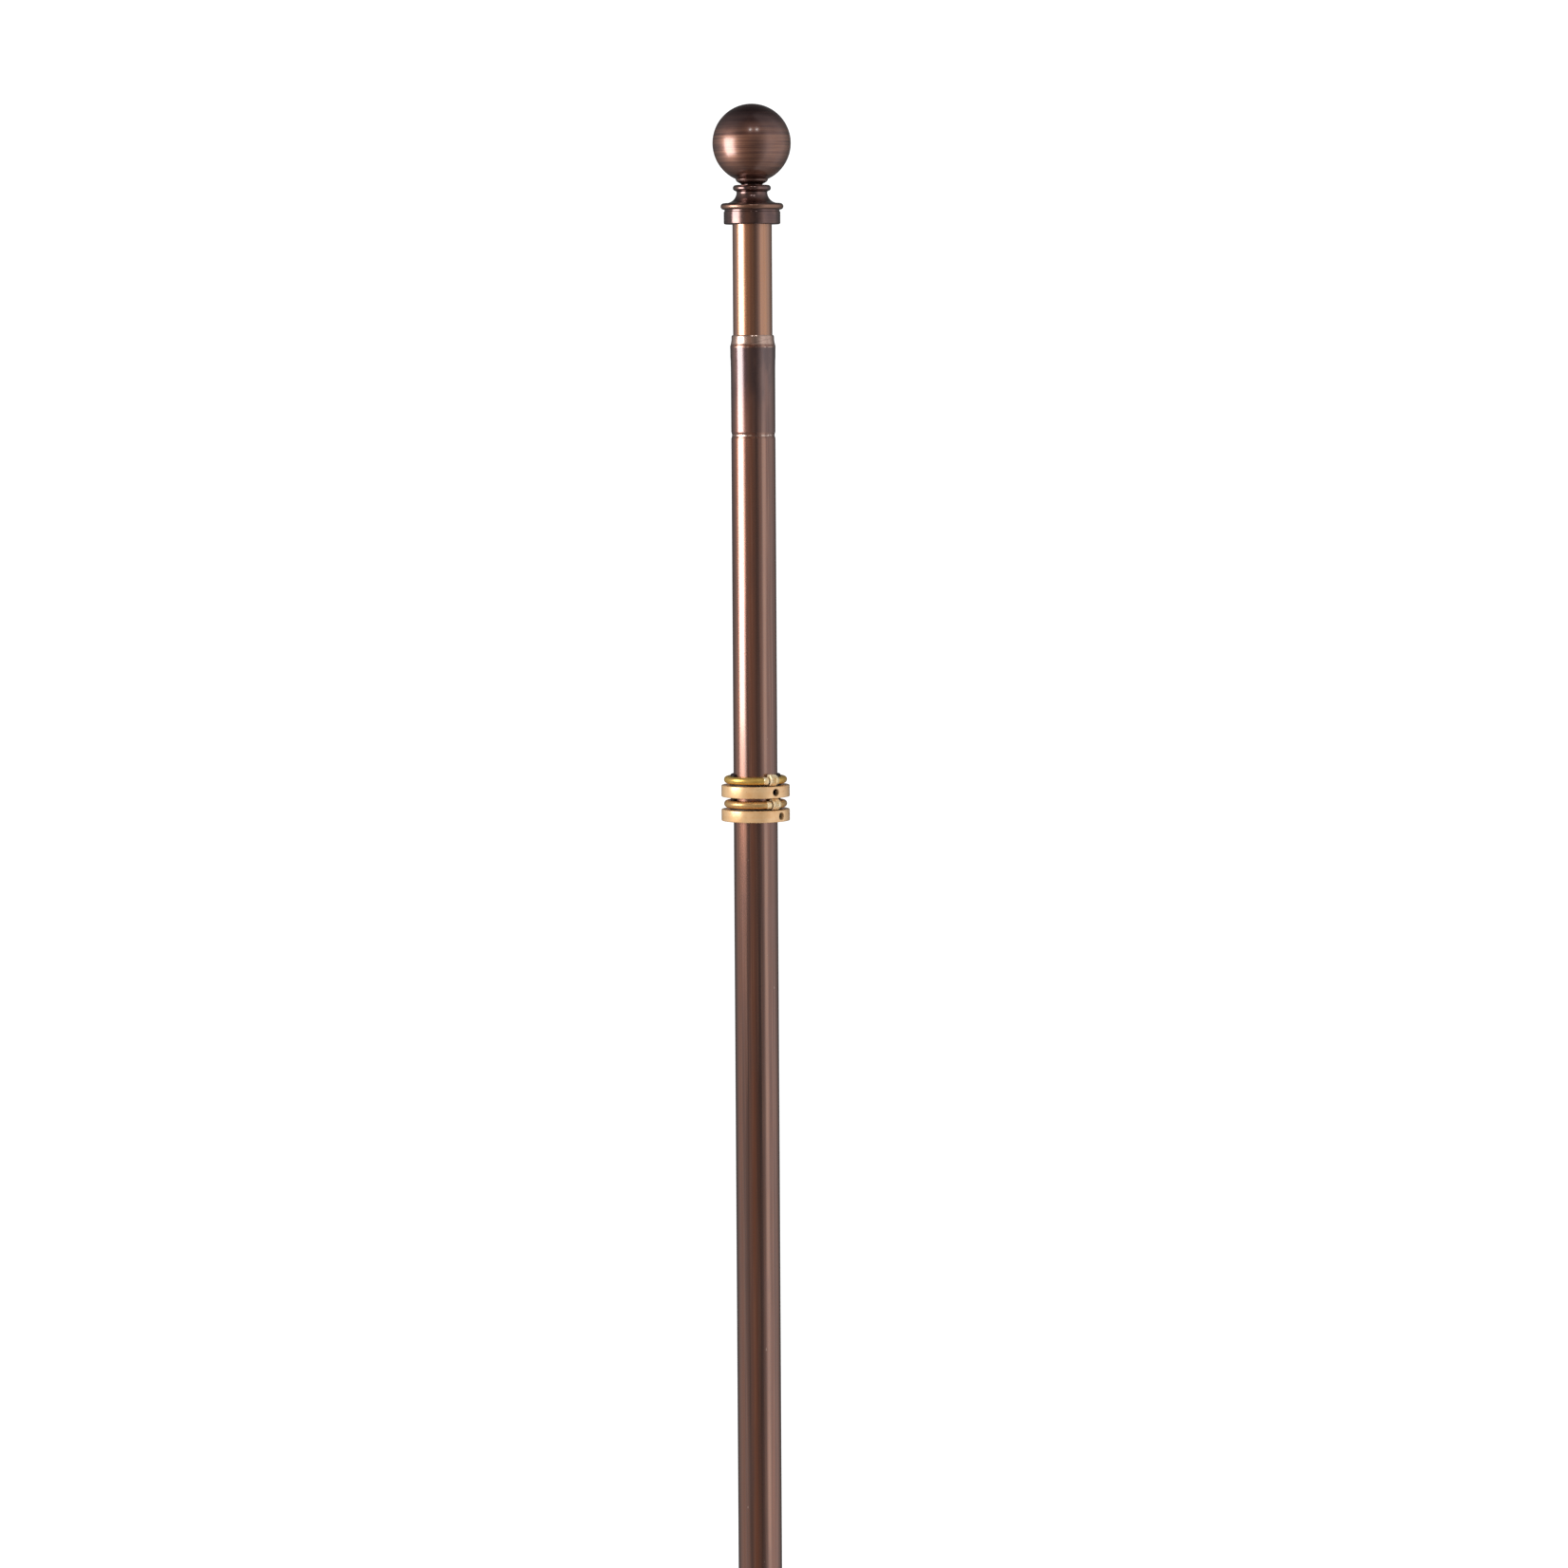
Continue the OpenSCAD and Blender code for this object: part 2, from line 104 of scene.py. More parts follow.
CAP_Z = bottom("finial_cap")
CAP_R = 16.2
CAP_H = 7.4
CAP_WEB = 1.5
STUD_R = 3
STUD_HOLE_R = STUD_R + 0.1
STEP_H = 1
BEAD_R = 18
FLANGE_BEAD = 1.9
COVE = 6.2
COVE_Z = 18.4
WAIST_R = 8.8
NECK_BEAD = 1.75
NECK_BEAD_R = 10.9
NECK_BEAD_Z = 20.7
SEAT_R = 5.8
SEAT_TOP = 22.7
BALL_R = 22.4
BALL_Z = SEAT_TOP + 1.1 + BALL_R
BALL_WALL = 1.2
BOSS_R = 6.5
BOSS_TOP = SEAT_TOP + 15

COLLAR_R = 19.7
COLLAR_H = 6.7
COLLAR_EDGE = 0.5
SLEEVE_R = OUTER_R + 0.1
CORE_R = SLEEVE_R + 0.6
WIRE_R = 2.1
WIRE_BORE = WIRE_R - 0.6
HOOP_R = CORE_R + 0.6 + WIRE_R
HOOP_UP = COLLAR_H / 2 + 1 + WIRE_R
LEDGE_R = 14.9
LEDGE_H = 0.75
LUG_R = CORE_R + 1
LUG_LOW = HOOP_UP + WIRE_R - 0.5
LUG_HIGH = HOOP_UP + WIRE_R + 1.15
SCREW_R = 2
SCREW_TIP = OUTER_R + 0.1
SCREW_L = 4.4
HEX_R = 1.15
HEX_DEPTH = 2
SLIDER_REACH = 3.7
SLIDER_LOW = -WIRE_R - 0.6
SLIDER_HIGH = WIRE_R + 1.65
SLIDER_ROOM = 0.4
COIL_R = 1.12
COIL_WIRE = 0.22
SPRING_COILS = 10

# Width of a snap lug, in degrees round the pole
LUG_TURN = 56

# Clasp angles round a hoop, in degrees. SPIGOT_TURN, SLOT_TURN, SLIDER_TURN and SPRING_TURN are lengths,
# and the others are from the face where the clasp opens.
SOCKET_TURN = 9.5
SPIGOT_TURN = 5
NOSE_TURN = 4.5
OPENING_TURN = 15
SLOT_TURN = 25
SLIDER_FROM = 1.6
SLIDER_TURN = 20
SPRING_FROM = 40.3
SPRING_TURN = 44

# For each ring set: bearings of its set screw and of its clasp, from the front towards +X
RING_SETS = {"a": (37, 26), "b": (50, 32)}


# ---- Mesh tools ------------------------------------------------------------------------------------------
def piece_from(name, points, faces, sharp):
    """A closed mesh piece from points in millimetres, smooth but for edges sharper than the given angle."""
    mesh = bpy.data.meshes.new(name)
    mesh.from_pydata([Vector(p) * MM for p in points], [], faces)
    work = bmesh.new()
    work.from_mesh(mesh)
    bmesh.ops.remove_doubles(work, verts=work.verts, dist=1e-7)
    bmesh.ops.recalc_face_normals(work, faces=work.faces)
    work.to_mesh(mesh)
    work.free()
    mesh.shade_smooth()
    mesh.set_sharp_from_angle(angle=math.radians(sharp))
    piece = bpy.data.objects.new(name, mesh)
    bpy.context.scene.collection.objects.link(piece)
    return piece


def loft(name, loops, wrap, sharp=35):
    """Skin over closed loops of as many points each: either the last loop joins the first one, or
    both ends are closed."""
    count = len(loops[0])
    points = [p for loop in loops for p in loop]
    faces = []
    for i in range(len(loops) if wrap else len(loops) - 1):
        low, high = i * count, (i + 1) % len(loops) * count
        for j in range(count):
            k = (j + 1) % count
            faces.append((low + j, low + k, high + k, high + j))
    if not wrap:
        faces.append(tuple(range(count)))
        faces.append(tuple(range(len(points) - count, len(points))))
    return piece_from(name, points, faces, sharp)


def turned(name, outline):
    """A lathe piece from a closed outline of (radius, height) points."""
    loops = []
    for i in range(ROUND):
        a = math.tau * i / ROUND
        loops.append([(r * math.cos(a), r * math.sin(a), z) for r, z in outline])
    return loft(name, loops, True)


def arc(middle_r, middle_z, radius, start, end, steps):
    """Points (radius, height) along an arc, by angles in degrees from the outward direction."""
    angles = [math.radians(angle) for angle in spread(start, end, steps)]
    return [(middle_r + radius * math.cos(a), middle_z + radius * math.sin(a)) for a in angles]


def along_hoop(turn, offsets, height):
    """Points of a section across the hoop's wire, at an angle round the hoop's centre circle."""
    a = math.radians(turn)
    return [((HOOP_R + u) * math.cos(a), (HOOP_R + u) * math.sin(a), height + v) for u, v in offsets]


def circle(radius, steps=40):
    """Offsets round a circle."""
    angles = [math.tau * i / steps for i in range(steps)]
    return [(radius * math.cos(a), radius * math.sin(a)) for a in angles]


def spread(start, end, steps):
    """Evenly spaced values from start to end, with both ends."""
    return [start + (end - start) * i / steps for i in range(steps + 1)]


def cut(piece, tool, operation="DIFFERENCE"):
    """Takes the tool's shape out of the piece, or adds it to the piece, and removes the tool."""
    modifier = piece.modifiers.new("cut", "BOOLEAN")
    modifier.operation = operation
    modifier.solver = "EXACT"
    modifier.object = tool
    evaluated = piece.evaluated_get(bpy.context.evaluated_depsgraph_get())
    mesh = bpy.data.meshes.new_from_object(evaluated)
    piece.modifiers.clear()
    piece.data = mesh
    mesh.name = piece.name
    bpy.data.objects.remove(tool)


def bar(name, low, high, r_low, r_high, place):
    """A round bar or cone between two heights on its own axis, put in place by a matrix."""
    loops = []
    for z, r in ((low, r_low), (high, r_high)):
        loops.append([tuple(place @ Vector((x, y, z))) for x, y in circle(r, 48)])
    return loft(name, loops, False)


def outward(bearing, height):
    """Matrix that turns +Z to point out of the pole at a bearing, at a height."""
    turn = Matrix.Rotation(math.radians(bearing - 90), 4, "Z")
    level = Matrix.Rotation(math.pi / 2, 4, "Y")
    return Matrix.Translation((0, 0, height)) @ turn @ level


# ---- Tubes -----------------------------------------------------------------------------------------------
def rolled(r, z):
    """Points of a rolled groove, as a cosine dip."""
    points = []
    for t in spread(0, 1, 20):
        dip = GROOVE_DEPTH * (1 - math.cos(math.tau * t)) / 2
        points.append((r - dip, z + GROOVE_W * (t - 0.5)))
    return points


def swage(thin):
    """Drawn-down end of the outer tube, lowest point first, as far inside its outer face as thin says."""
    return [
        (OUTER_R + 0.04 - thin, LIP_Z - 20),
        (OUTER_R + 0.12 - thin, LIP_Z - 14.6),
        (OUTER_R + 0.26 - thin, LIP_Z - 12.4),
        (OUTER_R + 0.27 - thin, LIP_Z - 8.1),
        (OUTER_R + 0.35 - thin, LIP_Z - 6.9),
        (OUTER_R + 0.28 - thin, LIP_Z - 6.1),
        (OUTER_R + 0.05 - thin, LIP_Z - 5.4),
        (OUTER_R - 0.1 - thin, LIP_Z - 4.8),
        (NECK_R + 0.17 - thin, LIP_Z - 3.8),
        (NECK_R - thin, LIP_Z - 2.6),
    ]


def outer_tube():
    """Tube with two rolled grooves and a swaged end with a softened lip."""
    lip = [(NECK_R - 0.03, LIP_Z - 1), (NECK_R - 0.15, LIP_Z - 0.5), (NECK_R - 0.4, LIP_Z)]
    outside = [(OUTER_R, FOOT_Z)] + rolled(OUTER_R, SEAT_Z) + rolled(OUTER_R, BUSH_Z) + swage(0) + lip
    inside = [(BORE_R, FOOT_Z)] + rolled(BORE_R, SEAT_Z) + rolled(BORE_R, BUSH_Z) + swage(WALL)
    inside.append((NECK_R - WALL, LIP_Z))
    return turned("outer_tube_skin", outside + inside[::-1])


def inner_tube():
    """Straight tube with a chamfered foot and a rivet hole across it."""
    edge = 0.2
    r_in = INNER_R - WALL
    outline = [
        (r_in, INNER_Z),
        (INNER_R - edge, INNER_Z),
        (INNER_R, INNER_Z + edge),
        (INNER_R, INNER_TOP),
        (r_in, INNER_TOP),
    ]
    tube = turned("inner_tube_skin", outline)
    cut(tube, bar("rivet_hole", -OUTER_R, OUTER_R, RIVET_R, RIVET_R, outward(0, RIVET_Z)))
    return tube


def foot_plug():
    """End plug: a rounded flange under the tube and a hollow skirt with three ribs inside it."""
    skirt_top = 24
    rib = 0.5
    round_r = 0.8
    skirt_r = BORE_R - 0.3
    hollow_r = BORE_R - 2
    flange_r = OUTER_R - 0.1
    outline = [(0, 0), (flange_r - round_r, 0)] + arc(flange_r - round_r, round_r, round_r, -90, 0, 8)
    outline += [(flange_r, FOOT_Z), (skirt_r, FOOT_Z)]
    for z in (8, 14, 20):
        outline += arc(BORE_R - 0.05 - rib, z, rib, -66, 66, 8)
    outline += [(skirt_r, skirt_top), (hollow_r, skirt_top), (hollow_r, FOOT_Z), (0, FOOT_Z)]
    return turned("foot_plug_skin", outline)


# ---- Finial ----------------------------------------------------------------------------------------------
def raised(outline):
    """Outline moved up from the bottom of the finial's cap."""
    return [(r, CAP_Z + z) for r, z in outline]


def finial_cap():
    """Collar over the top of the inner tube, rounded at both edges."""
    round_r = 1
    lip = 0.4
    socket_r = INNER_R + 0.02
    socket_top = CAP_H - CAP_WEB
    outline = [(socket_r, 0)] + arc(CAP_R - round_r, round_r, round_r, -90, 0, 8)
    outline += arc(CAP_R - lip, CAP_H - lip, lip, 0, 90, 6)
    outline += [(STUD_HOLE_R, CAP_H), (STUD_HOLE_R, socket_top), (socket_r, socket_top)]
    return turned("finial_cap_skin", raised(outline))


def finial_neck():
    """Turned neck: a step, a flange bead, a cove, a small bead and the ball's seat."""
    step_r = CAP_R - 0.4
    bead_z = CAP_H + STEP_H + FLANGE_BEAD - 0.05
    outline = [(STUD_HOLE_R, CAP_H), (step_r, CAP_H), (step_r, CAP_H + STEP_H)]
    outline += arc(BEAD_R - FLANGE_BEAD, bead_z, FLANGE_BEAD, -88, 90, 20)
    outline += arc(WAIST_R + COVE, COVE_Z, COVE, 264, 180, 16)
    outline += arc(NECK_BEAD_R - NECK_BEAD, NECK_BEAD_Z, NECK_BEAD, -84, 90, 16)
    outline += [(SEAT_R, NECK_BEAD_Z + NECK_BEAD), (SEAT_R, SEAT_TOP), (STUD_HOLE_R, SEAT_TOP)]
    return turned("finial_neck_skin", raised(outline))


def finial_ball():
    """Hollow ball on a flared foot, with a boss inside for the stud."""
    flare = [(6, 0), (6.5, 0.4), (7.2, 0.8), (7.9, 1.2), (8.5, 1.6), (8.95, 2.1), (9.2, 2.55), (9.3, 2.85)]
    foot = [(STUD_R, SEAT_TOP)] + [(r, SEAT_TOP + z) for r, z in flare]
    meet_r = 9.2
    meet = math.degrees(math.acos(meet_r / BALL_R))
    hollow_r = BALL_R - BALL_WALL
    boss = math.degrees(math.acos(BOSS_R / hollow_r))
    outline = foot + arc(0, BALL_Z, BALL_R, -meet, 90, 72)
    outline += arc(0, BALL_Z, hollow_r, 90, -boss, 48)
    outline += [(BOSS_R, BOSS_TOP), (STUD_R, BOSS_TOP)]
    return turned("finial_ball_skin", raised(outline))


# ---- Flag rings ------------------------------------------------------------------------------------------
def snap_lug(name, side, z):
    """Lug that holds the hoop down, on the side of the spool at an angle from +X."""
    bevel = 0.35
    edge = 0.1
    end_turn = 0.6
    end_shrink = 0.15
    back = SLEEVE_R + 0.05
    foot = CORE_R - 0.3
    foot_z = HOOP_UP + 0.5

    def section(turn, shrink):
        """Outline across the lug at an angle from its middle."""
        a = math.radians(side + turn)
        low, high, reach = LUG_LOW + shrink, LUG_HIGH - shrink, LUG_R - shrink
        outline = [(back, foot_z), (foot, foot_z), (foot, low), (reach - edge, low)]
        outline += [(reach, low + edge), (reach, high - bevel), (reach - bevel, high), (back, high)]
        return [(r * math.cos(a), r * math.sin(a), z + up) for r, up in outline]

    half = LUG_TURN / 2
    middle = [section(turn, 0) for turn in spread(end_turn - half, half - end_turn, 28)]
    ends = [section(turn, end_shrink) for turn in (-half, half)]
    return loft(name, [ends[0]] + middle + [ends[1]], False, 25)


def ring_sleeve(name, z, bearing):
    """Spool with a ledge under the hoop and two snap lugs over it."""
    half = COLLAR_H / 2
    low = 0.15 - half
    high = HOOP_UP + 1.2
    edge = 0.2
    outline = [(SLEEVE_R, low), (CORE_R, low), (CORE_R, half), (LEDGE_R, half)]
    outline += arc(LEDGE_R - edge, half + LEDGE_H - edge, edge, 0, 90, 5)
    outline += [(CORE_R, half + LEDGE_H), (CORE_R, high - edge), (CORE_R - edge, high), (SLEEVE_R, high)]
    sleeve = turned(name, [(radius, z + up) for radius, up in outline])
    for side in (0, 180):
        cut(sleeve, snap_lug("lug", side, z), "UNION")
    room = SCREW_R + 0.2
    cut(sleeve, bar("screw_room", 0, 2 * OUTER_R, room, room, outward(bearing, z)))
    return sleeve


def ring_collar(name, z, bearing):
    """Flat clamping collar with rounded edges and a countersunk hole for its set screw."""
    half = COLLAR_H / 2
    inside = CORE_R + 0.02
    chamfer = 0.2
    outline = [(inside, chamfer - half), (inside + chamfer, -half)]
    outline += arc(COLLAR_R - COLLAR_EDGE, COLLAR_EDGE - half, COLLAR_EDGE, -90, 0, 6)
    outline += arc(COLLAR_R - COLLAR_EDGE, half - COLLAR_EDGE, COLLAR_EDGE, 0, 90, 6)
    outline += [(inside + chamfer, half), (inside, half - chamfer)]
    collar = turned(name, [(radius, z + up) for radius, up in outline])
    place = outward(bearing, z)
    hole = SCREW_R + 0.05
    cut(collar, bar("hole", 0, COLLAR_R + 1, hole, hole, place))
    cut(collar, bar("countersink", COLLAR_R - 0.35, COLLAR_R + 0.15, hole, hole + 0.5, place))
    return collar


def set_screw(name, z, bearing):
    """Socket set screw with a chamfered tip and a hexagon recess."""
    steps = 48
    place = outward(bearing, z)
    end = SCREW_TIP + SCREW_L
    chamfer = 0.35

    def ring(radius, height):
        """Points round the screw."""
        return [tuple(place @ Vector((x, y, height))) for x, y in circle(radius, steps)]

    def hexagon(apothem, height):
        """Points round the recess."""
        points = []
        for i in range(steps):
            a = math.tau * i / steps
            off = (a + math.pi / 6) % (math.pi / 3) - math.pi / 6
            r = apothem / math.cos(off)
            points.append(tuple(place @ Vector((r * math.cos(a), r * math.sin(a), height))))
        return points

    apothem = HEX_R * math.cos(math.pi / 6)
    loops = [
        ring(SCREW_R - chamfer, SCREW_TIP),
        ring(SCREW_R, SCREW_TIP + chamfer),
        ring(SCREW_R, end - chamfer),
        ring(SCREW_R - chamfer, end),
        ring(HEX_R + 0.05, end),
        hexagon(apothem, end - 0.1),
        hexagon(apothem, end - HEX_DEPTH),
    ]
    return loft(name, loops, False, 30)


def turned_about(points, bearing):
    """Points turned about the pole's axis from the hoop's own start to a bearing."""
    turn = Matrix.Rotation(math.radians(bearing - 90), 3, "Z")
    return [tuple(turn @ Vector(p)) for p in points]


def hoop_loft(name, sections, bearing, height, wrap, sharp=35):
    """Skin over wire sections, each an angle round the hoop with its offsets."""
    loops = [turned_about(along_hoop(turn, offsets, height), bearing) for turn, offsets in sections]
    return loft(name, loops, wrap, sharp)


def ring_hoop(name, z, bearing):
    """Tubular hoop, open where the clasp is and slotted on its underside for the slider's pin."""
    edge = 0.15
    edge_turn = math.degrees(edge / HOOP_R)
    start, end = OPENING_TURN, 360 - SOCKET_TURN
    sections = [(start, circle(WIRE_R - edge))]
    sections += [(turn, circle(WIRE_R)) for turn in spread(start + edge_turn, end, ROUND)]
    sections += [(turn, circle(WIRE_BORE)) for turn in spread(end, start, ROUND)]
    hoop = hoop_loft(name, sections, bearing, z + HOOP_UP, True)
    half_w = 0.7
    slot = [(-half_w, -2 * WIRE_R), (half_w, -2 * WIRE_R), (half_w, 0), (-half_w, 0)]
    past_end = 5
    cuts = [(turn, slot) for turn in spread(start - past_end, start + SLOT_TURN, 24)]
    cut(hoop, hoop_loft("slot", cuts, bearing, z + HOOP_UP, False))
    return hoop


def ring_socket(name, z, bearing):
    """Ferrule with softened ends, its spigot in the hoop and the hole for the bolt's nose."""
    r = WIRE_R + 0.15
    spigot_r = WIRE_BORE - 0.02
    edge = 0.25
    edge_turn = math.degrees(edge / HOOP_R)
    sections = [
        (-SOCKET_TURN - SPIGOT_TURN, circle(spigot_r)),
        (-SOCKET_TURN, circle(spigot_r)),
        (-SOCKET_TURN, circle(r - edge)),
    ]
    sections += [(turn, circle(r)) for turn in spread(edge_turn - SOCKET_TURN, -edge_turn, 6)]
    sections += [(0, circle(r - edge)), (0, circle(WIRE_BORE + 0.1)), (-0.4, circle(WIRE_BORE))]
    sections += [(-NOSE_TURN - 1, circle(WIRE_BORE))]
    return hoop_loft(name, sections, bearing, z + HOOP_UP, False)


def slider_offsets(grow):
    """C-shaped section of the thumb slider: facets outside, round on the wire, open towards the pole.
    Grow scales the facets' distance from the wire's middle."""
    bore = WIRE_R + 0.1
    wall = 0.25
    lip = 0.2
    over = LUG_R + SLIDER_ROOM - HOOP_R
    under = LEDGE_R + SLIDER_ROOM - HOOP_R
    over_z = math.sqrt(bore**2 - over**2)
    under_z = -math.sqrt(bore**2 - under**2)
    # Each facet's direction in degrees, and its distance from the wire's middle
    facets = ((0, SLIDER_REACH), (90, SLIDER_HIGH), (-90, -SLIDER_LOW), (45, 3.85), (-45, 3.15))
    outside = []
    for a in spread(math.atan2(SLIDER_LOW, under), math.atan2(SLIDER_HIGH, over), 60):
        offs = [(a - math.radians(side), far) for side, far in facets]
        reach = [far / math.cos(off) for off, far in offs if abs(off) < math.radians(85)]
        r = max(min(reach) * grow, bore + wall)
        outside.append((r * math.cos(a), r * math.sin(a)))
    outside[0] = (under, min(outside[0][1], under_z - lip))
    outside[-1] = (over, max(outside[-1][1], over_z + lip))
    inside = []
    for a in spread(math.atan2(over_z, over), math.atan2(under_z, under), 48):
        inside.append((bore * math.cos(a), bore * math.sin(a)))
    return outside + inside


def ring_slider(name, z, bearing):
    """Thumb slider: a faceted block with a waist near the ferrule, a tapered far end and a slot in its
    face. Places along it run from 0 at the ferrule to 1 at the far end."""
    chamfer, chamfer_to = 0.12, 0.06
    waist, waist_at, waist_half = 0.16, 0.17, 0.1
    taper, taper_from, taper_power = 0.32, 0.62, 1.3
    sections = []
    for t in spread(0, 1, 54):
        grow = 1 - chamfer * max(0, 1 - t / chamfer_to)
        grow -= waist * max(0, 1 - abs(t - waist_at) / waist_half)
        grow -= taper * max(0, (t - taper_from) / (1 - taper_from)) ** taper_power
        sections.append((SLIDER_FROM + SLIDER_TURN * t, slider_offsets(grow)))
    slider = hoop_loft(name, sections, bearing, z + HOOP_UP, False, 25)
    slot_at, slot_turn = 0.3, 3
    near, far = SLIDER_REACH - 0.9, SLIDER_REACH + 1
    low, high = -1.6, 1.7
    slot = [(near, low), (far, low), (far, high), (near, high)]
    first = SLIDER_FROM + SLIDER_TURN * slot_at
    cuts = [(turn, slot) for turn in spread(first, first + slot_turn, 4)]
    cut(slider, hoop_loft("slot", cuts, bearing, z + HOOP_UP, False))
    return slider


def ring_spring(name, z, bearing):
    """Coil spring bent along the hoop, with its end coils close together."""
    steps = 28
    sides = 10
    count = SPRING_COILS * steps
    bunching = 0.6
    loops = []
    for i in range(count + 1):
        t = i / count
        turn = SPRING_FROM + SPRING_TURN * (t - bunching * math.sin(math.tau * t) / math.tau)
        phase = math.tau * i / steps
        loop = []
        for j in range(sides):
            a = math.tau * j / sides
            r = COIL_R + COIL_WIRE * math.cos(a)
            ahead = turn + math.degrees(COIL_WIRE * math.sin(a) / HOOP_R)
            loop += along_hoop(ahead, [(r * math.cos(phase), r * math.sin(phase))], z + HOOP_UP)
        loops.append(turned_about(loop, bearing))
    return loft(name, loops, False)


# ---- Finishes --------------------------------------------------------------------------------------------
class Finish:
    """A node material: one Principled surface, and short ways to make the texture nodes that feed it."""

    def __init__(self, name, **sockets):
        self.material = bpy.data.materials.new(name)
        self.material.use_nodes = True
        self.tree = self.material.node_tree
        self.surface = self.tree.nodes["Principled BSDF"]
        for socket, value in sockets.items():
            self.surface.inputs[socket.replace("_", " ")].default_value = value
        self.place = self.node("ShaderNodeTexCoord").outputs["Object"]

    def node(self, kind, links=None, **settings):
        """A new node: its settings, and what goes into each of its sockets."""
        made = self.tree.nodes.new(kind)
        for key, value in settings.items():
            setattr(made, key, value)
        for socket, value in (links or {}).items():
            self.feed(made.inputs[socket], value)
        return made

    def feed(self, socket, value):
        """Joins an output to a socket, or sets the socket's own value."""
        if isinstance(value, bpy.types.NodeSocket):
            self.tree.links.new(value, socket)
        else:
            socket.default_value = value

    def set(self, socket, value):
        """Feeds a socket of the surface."""
        self.feed(self.surface.inputs[socket], value)

    def noise(self, scale, detail, rough, at=(0, 0, 0)):
        """Noise from 0 to 1. Scale is in cells a metre along x, y and z."""
        vector = self.node("ShaderNodeMapping", {"Vector": self.place, "Location": at, "Scale": scale})
        links = {"Vector": vector.outputs[0], "Scale": 1, "Detail": detail, "Roughness": rough}
        return self.node("ShaderNodeTexNoise", links).outputs["Fac"]

    def between(self, value, low, high, low_out=0, high_out=1):
        """Smooth step of a value from one range to another."""
        links = {"Value": value, "From Min": low, "From Max": high, "To Min": low_out, "To Max": high_out}
        made = self.node("ShaderNodeMapRange", links, interpolation_type="SMOOTHSTEP")
        return made.outputs["Result"]

    def calc(self, kind, a, b=0.0):
        """Result of a math node."""
        made = self.node("ShaderNodeMath", operation=kind)
        self.feed(made.inputs[0], a)
        self.feed(made.inputs[1], b)
        return made.outputs[0]

    def mix(self, factor, a, b):
        """Colour mix: a where the factor is 0, b where it is 1."""
        made = self.node("ShaderNodeMix", data_type="RGBA")
        self.feed(made.inputs["Factor"], factor)
        self.feed(made.inputs[6], a)
        self.feed(made.inputs[7], b)
        return made.outputs[2]

    def height(self):
        """Height on the pole in metres."""
        return self.node("ShaderNodeSeparateXYZ", {"Vector": self.place}).outputs["Z"]

    def bearing(self):
        """Bearing round the pole in degrees, 0 at the front and growing towards +X."""
        axes = self.node("ShaderNodeSeparateXYZ", {"Vector": self.place}).outputs
        turn = self.calc("ARCTAN2", axes["X"], self.calc("MULTIPLY", axes["Y"], -1))
        return self.calc("MULTIPLY", turn, 180 / math.pi)

    def stripe(self, middle, half, soft):
        """1 along a stripe up the pole, by bearings in degrees, 0 beside it."""
        off = self.calc("ABSOLUTE", self.calc("SUBTRACT", self.bearing(), middle))
        return self.between(off, half - soft, half + soft, 1, 0)

    def painted_reflection_stripes(self, colour, marks):
        """Colour with painted reflection stripes up the pole, light and dark at fixed bearings: each has
        its middle, half width, softness, strength and tint.
        """
        for middle, half, soft, strength, tint in marks:
            factor = self.calc("MULTIPLY", self.stripe(middle, half, soft), strength)
            colour = self.mix(factor, colour, tint)
        return colour

    def band(self, low, high, soft):
        """1 between two heights in millimetres, 0 outside them."""
        z = self.height()
        rise = self.between(z, (low - soft) * MM, (low + soft) * MM)
        fall = self.between(z, (high - soft) * MM, (high + soft) * MM, 1, 0)
        return self.calc("MULTIPLY", rise, fall)

    def scratch(self, height, middle, half, slope, width):
        """1 along a slanting scratch. Its height and width are in millimetres, its middle and half
        length in degrees of bearing, and its slope in millimetres a degree."""
        turn = self.bearing()
        line = self.calc("ADD", self.calc("MULTIPLY", turn, slope * MM), (height - slope * middle) * MM)
        off = self.calc("ABSOLUTE", self.calc("SUBTRACT", self.height(), line))
        near = self.between(off, 0.4 * width * MM, width * MM, 1, 0)
        return self.calc("MULTIPLY", near, self.stripe(middle, half, 2))

    def beside_line(self, bearing, height, radius, soft):
        """1 within a radius of a line that runs out of the pole at a bearing and a height. The lengths are
        in millimetres."""
        a = math.radians(bearing)
        axes = self.node("ShaderNodeSeparateXYZ", {"Vector": self.place}).outputs
        across = self.calc("MULTIPLY", axes["X"], math.cos(a))
        across = self.calc("ADD", across, self.calc("MULTIPLY", axes["Y"], math.sin(a)))
        out = self.calc("MULTIPLY", axes["X"], math.sin(a))
        out = self.calc("SUBTRACT", out, self.calc("MULTIPLY", axes["Y"], math.cos(a)))
        up = self.calc("SUBTRACT", axes["Z"], height * MM)
        square = self.calc("ADD", self.calc("POWER", across, 2), self.calc("POWER", up, 2))
        off = self.calc("SQRT", square)
        near = self.between(off, (radius - soft) * MM, (radius + soft) * MM, 1, 0)
        return self.calc("MULTIPLY", near, self.calc("GREATER_THAN", out, 0))

    def bump(self, height, distance, under=None):
        """Normal from a height field over another normal; distance is in millimetres."""
        links = {"Height": height, "Distance": distance * MM, "Strength": 1}
        if under is not None:
            links["Normal"] = under
        return self.node("ShaderNodeBump", links).outputs["Normal"]


def rgb(r, g, b):
    """Opaque linear colour."""
    return (r, g, b, 1)


def collar_middle(mark):
    """Height of the middle of a ring set's collar in millimetres."""
    collar = f"ring_{mark}_collar"
    return (bottom(collar) + top(collar)) / 2


